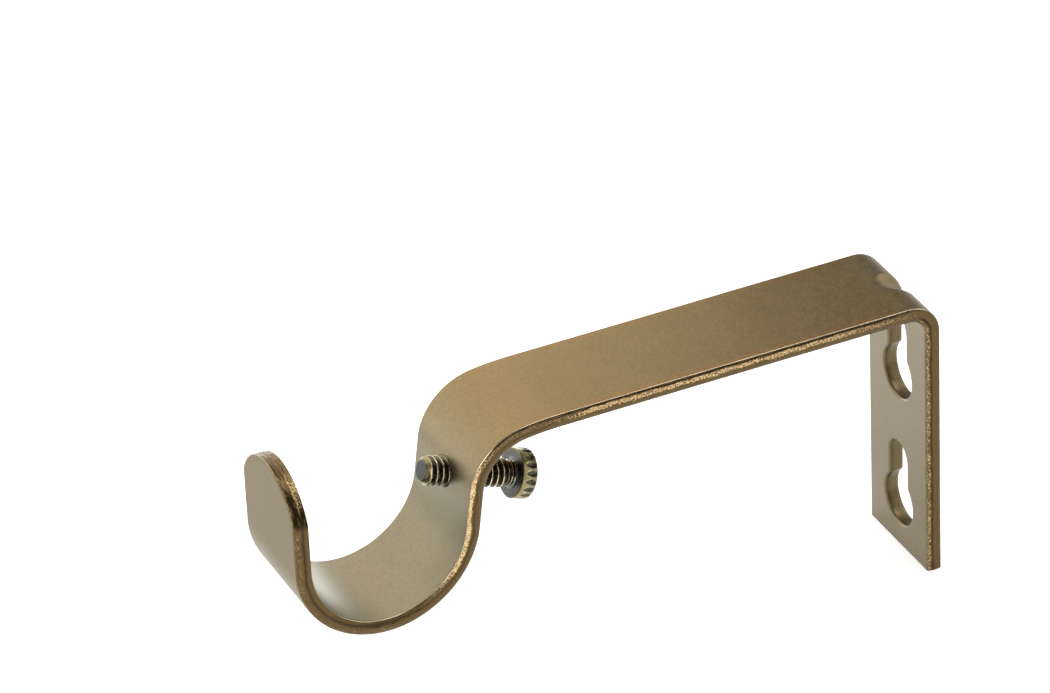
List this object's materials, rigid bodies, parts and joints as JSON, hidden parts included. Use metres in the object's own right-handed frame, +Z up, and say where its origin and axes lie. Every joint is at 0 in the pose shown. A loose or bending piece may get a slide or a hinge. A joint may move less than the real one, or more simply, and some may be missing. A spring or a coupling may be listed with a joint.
{
  "type": "curtain pole bracket",
  "caption": "Flat metal bar bent into a wall plate with keyholes, a level arm and a round open cup that holds a curtain pole, with a scalloped thumb screw to lock it.",
  "frame": {"origin": "middle of the wall face of the plate", "axes": "+Z up, +Y into the wall, X along the pole; the arm reaches towards -Y"},
  "size_m": [0.019, 0.1101, 0.05],
  "materials": {
    "satin_strap": "fine grained satin antique gold, brighter along the bar's edges",
    "antique_screw": "antiqued brass, bright crests and dark valleys"
  },
  "bodies": {
    "bracket": {"bracket_strap": "satin_strap"},
    "screw": {"thumb_screw": "antique_screw"}
  },
  "joints": [
    {"name": "thumb_screw_travel", "type": "slide", "parent": "bracket", "child": "screw", "axis": [0, -0.9426, 0.3338], "range_m": [-0.0039, 0.0081]}
  ]
}
